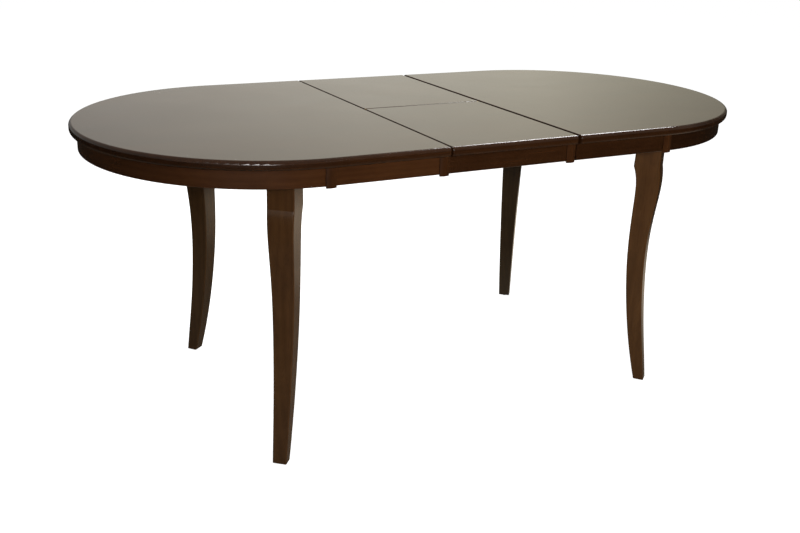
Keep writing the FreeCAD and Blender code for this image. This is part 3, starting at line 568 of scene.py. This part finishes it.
lock_width, lock_inset, lock_end_inset = 0.030, 0.0042, 0.006
for end in ("left", "right"):
    low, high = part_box(end + "_lock_cases")
    near_edges = (lock_inset, lock_width - lock_inset)
    sides = [low.y + inset for inset in near_edges] + [high.y - inset for inset in reversed(near_edges)]
    ends = (low.x + lock_end_inset, high.x - lock_end_inset)
    seats = [(x, y, high.z - plate_thickness) for x in ends for y in sides]
    screws(end + "_lock_screws", end + "_end", "zinc_steel", seats, down, *plate_screw)


# Glides under the feet: turned from brown nylon, each with a shank driven into the foot.
# They are scuffed grey where they slide on the floor.
def scuffed_nylon():
    moulded, scuffed, worn = (0.045, 0.030, 0.020), (0.16, 0.14, 0.12), (0.22, 0.19, 0.16)
    scuff_stretch, scuff_share = (300.0, 60.0, 60.0), 0.4
    material, tree, shader, place = new_material("brown_nylon")
    edge = placed(tree, edge_wear, Place=place["Object"], Width=0.0008)["Edge"]
    scuffs = noise(tree, stretched(tree, place["Object"], scuff_stretch), detail=3.0)
    scuffs = remap(tree, scuffs, low=0.5, high=0.7)
    colour = mixed(tree, times(tree, scuffs, scuff_share), moulded, scuffed)
    colour = mixed(tree, edge, colour, worn)
    tree.links.new(colour, shader.inputs["Base Color"])
    rough = remap(tree, scuffs, 0.0, 1.0, to_low=0.38, to_high=0.62)
    tree.links.new(rough, shader.inputs["Roughness"])
    bump(tree, shader, scuffs, strength=0.2, distance=0.0001)
    return material


dress(scuffed_nylon(), "left_foot_glides", "right_foot_glides")


# Felt pads between the centre rails and the leaf, so that it rests quietly.
# Punched from pressed wool and glued down.
def pressed_felt():
    dark_wool, pale_wool = (0.012, 0.040, 0.022), (0.035, 0.085, 0.050)
    material, tree, shader, place = new_material("green_felt")
    hairs = noise(tree, place["Object"], scale=900.0, detail=5.0, distortion=1.2)
    clumps = noise(tree, place["Object"], scale=240.0, detail=3.0)
    colour = ramp(tree, hairs, ((0.35, dark_wool), (0.65, pale_wool)))
    tree.links.new(colour, shader.inputs["Base Color"])
    rough = remap(tree, clumps, 0.3, 0.7, to_low=0.85, to_high=1.0)
    tree.links.new(rough, shader.inputs["Roughness"])
    shader.inputs["Sheen Weight"].default_value = 0.4
    shader.inputs["Sheen Roughness"].default_value = 0.5
    bump(tree, shader, hairs, strength=0.6, distance=0.0004)
    return material


dress(pressed_felt(), "rest_pads")


# Floor: a plain white studio sweep. It shows white to the camera and keeps the table's soft shadow.
# In reflections it is bright behind the table and falls off to the dim studio floor in front.
# From below it is clear, so that the underside can be seen.
floor_reach = 20.0
floor_corners = [(x * floor_reach, y * floor_reach, 0.0) for x, y in ((-1, -1), (1, -1), (1, 1), (-1, 1))]
floor_mesh = bpy.data.meshes.new("studio_floor")
floor_mesh.from_pydata(floor_corners, [], [(0, 1, 2, 3)])
floor = bpy.data.objects.new("studio_floor", floor_mesh)
bpy.context.scene.collection.objects.link(floor)

white = (1.0, 1.0, 1.0, 1.0)
floor_grey = (0.50, 0.50, 0.50, 1.0)
floor_white_level = 0.95
floor_paint, tree, shader, place = new_material("white_sweep")
shader.inputs["Base Color"].default_value = floor_grey
shader.inputs["Roughness"].default_value = 1.0
shader.inputs["Specular IOR Level"].default_value = 0.0
seen = add(tree, "LightPath").outputs
shown_level = times(tree, seen["Is Camera Ray"], floor_white_level)
shown = add(tree, "Emission", {"Color": white, "Strength": shown_level}).outputs["Emission"]
painted = add(tree, "AddShader", {0: shader.outputs["BSDF"], 1: shown}).outputs["Shader"]

# the floor as polished faces mirror it: a bright patch behind the table and a faint glow about its feet
warm_light = (1.0, 0.84, 0.64, 1.0)
to_back_right = (0.75, 0.66, 0.0)
patch_front, patch_left, patch_right = (0.1, 1.3), (-0.4, 0.4), (1.7, 1.2)
dim_floor, bright_floor = 0.02, 0.85
glow_edge, glow_middle, glow_level = 2.2, 1.0, 0.15
way_feeds = {0: place["Object"], 1: to_back_right}
way = add(tree, "VectorMath", way_feeds, operation="DOT_PRODUCT").outputs["Value"]
across = add(tree, "SeparateXYZ", {0: place["Object"]}).outputs["X"]
patch = times(tree, remap(tree, way, *patch_front), remap(tree, across, *patch_right))
patch = times(tree, patch, remap(tree, across, *patch_left))
patch = remap(tree, patch, 0.0, 1.0, dim_floor, bright_floor)
apart = add(tree, "VectorMath", {0: place["Object"]}, operation="LENGTH").outputs["Value"]
glow = remap(tree, apart, glow_edge, glow_middle, 0.0, glow_level)
brightness = math_node(tree, "MAXIMUM", patch, glow)
mirror_image = add(tree, "Emission", {"Color": warm_light, "Strength": brightness}).outputs["Emission"]
mirrored = math_node(tree, "MAXIMUM", seen["Is Glossy Ray"], seen["Is Transmission Ray"])
either = add(tree, "MixShader", {0: mirrored, 1: painted, 2: mirror_image}).outputs["Shader"]
from_below = add(tree, "NewGeometry").outputs["Backfacing"]
clear = add(tree, "BsdfTransparent").outputs["BSDF"]
sweep = add(tree, "MixShader", {0: from_below, 1: either, 2: clear}).outputs["Shader"]
tree.links.new(sweep, tree.nodes["Material Output"].inputs["Surface"])
floor_mesh.materials.append(floor_paint)


# Studio: white all round for the camera; in reflections the wall behind the table is bright
# and the room in front of it is dim, so the polished top shows pale and the aprons stay brown.
world = bpy.data.worlds.new("studio")
bpy.context.scene.world = world
world.use_nodes = True
tree = world.node_tree
seen = add(tree, "LightPath").outputs
toward = add(tree, "SeparateXYZ", {0: add(tree, "TexCoord").outputs["Generated"]}).outputs
heading = math_node(tree, "ARCTAN2", toward["X"], toward["Y"])

# the walls' colours by share of a full turn: from the front past the left, the back and the right
dim_room = (0.06, 0.062, 0.056)
pale_room = (0.36, 0.355, 0.34)
walls = (
    (0.0, dim_room),
    (0.16, pale_room),
    (0.44, pale_room),
    (0.50, (0.30, 0.30, 0.29)),
    (0.525, (0.79, 0.745, 0.695)),
    (0.572, (1.20, 1.12, 0.98)),
    (0.600, (1.14, 1.05, 0.87)),
    (0.617, (0.76, 0.70, 0.56)),
    (0.64, (0.36, 0.33, 0.26)),
    (0.68, (0.06, 0.06, 0.05)),
    (0.75, dim_room),
    (0.84, pale_room),
    (1.0, dim_room),
)
wall = ramp(tree, remap(tree, heading, -math.pi, math.pi), walls)
low_wall, high_wall = (0.87, 0.91, 0.91), (0.75, 0.78, 0.75)
ceiling = (0.25, 0.25, 0.24)
shaded = mixed(tree, remap(tree, toward["Z"], low=0.17, high=0.25), low_wall, high_wall)
wall = mixed(tree, 1.0, wall, shaded, "MULTIPLY")
room = mixed(tree, remap(tree, toward["Z"], low=0.35, high=0.8), wall, ceiling)
fill_light = (0.10, 0.10, 0.10)
backdrop = (1.0, 1.0, 1.0)
mirrored = math_node(tree, "MAXIMUM", seen["Is Glossy Ray"], seen["Is Transmission Ray"])
colour = mixed(tree, mirrored, fill_light, room)
colour = mixed(tree, seen["Is Camera Ray"], colour, backdrop)
tree.links.new(colour, tree.nodes["Background"].inputs["Color"])


# Lamps: soft boxes overhead, in front, behind and at the camera, hidden from mirrored rays.
# Two panels show in mirrored rays alone, as glints along the edges of the top.
def softbox(name, place, aim, size, watts, mirrored=False, lights=True):
    lamp = bpy.data.lights.new(name, "AREA")
    lamp.shape = "RECTANGLE"
    lamp.size, lamp.size_y = size
    lamp.energy = watts
    box = bpy.data.objects.new(name, lamp)
    box.visible_glossy = mirrored
    box.visible_diffuse = lights
    bpy.context.scene.collection.objects.link(box)
    box.location = place
    box.rotation_euler = (Vector(aim) - Vector(place)).to_track_quat("-Z", "Y").to_euler()


def glint_panel(name, place, aim, size, watts):
    softbox(name, place, aim, size, watts, mirrored=True, lights=False)


softbox("overhead", place=(0.0, 0.0, 3.20), aim=(0.0, 0.0, 0.75), size=(2.4, 1.4), watts=75.0)
softbox("front_key", place=(0.3, -1.90, 1.10), aim=(-0.1, -0.4, 0.6), size=(0.6, 0.4), watts=17.0)
softbox("back_key", place=(-0.3, 2.10, 1.40), aim=(0.0, 0.4, 0.6), size=(0.8, 0.5), watts=26.0)
softbox("flash", place=(-1.27, -2.28, 1.32), aim=(-0.4, -0.4, 0.6), size=(0.12, 0.08), watts=11.0)
glint_panel("reflector", place=(-1.50, -2.30, 1.25), aim=(-0.6, -0.4, 0.74), size=(1.5, 0.95), watts=62.0)
glint_panel("right_high", place=(2.15, 1.10, 3.00), aim=(0.3, -0.2, 0.75), size=(1.6, 0.5), watts=62.0)


# Camera: at a standing person's eye, left of the middle, looking down along the table.
# Its place, turn and lens were fitted to the photograph's rim, joints and feet.
eye = Vector((-1.27292, -2.26149, 1.24794))
yaw, pitch, roll = 0.4942, 0.35223, 0.03431
lens_mm, film_mm = 44.575, 36.0
ahead = Vector((math.sin(yaw) * math.cos(pitch), math.cos(yaw) * math.cos(pitch), -math.sin(pitch)))
level = Vector((math.cos(yaw), -math.sin(yaw), 0.0))
upward = level.cross(ahead)
right = math.cos(roll) * level + math.sin(roll) * upward
up = math.cos(roll) * upward - math.sin(roll) * level
camera_data = bpy.data.cameras.new("studio_camera")
camera_data.sensor_width = film_mm
camera_data.lens = lens_mm
camera = bpy.data.objects.new("studio_camera", camera_data)
bpy.context.scene.collection.objects.link(camera)
camera.matrix_world = Matrix.Translation(eye) @ Matrix((right, up, -ahead)).transposed().to_4x4()
bpy.context.scene.camera = camera
bpy.context.scene.view_settings.view_transform = "Standard"
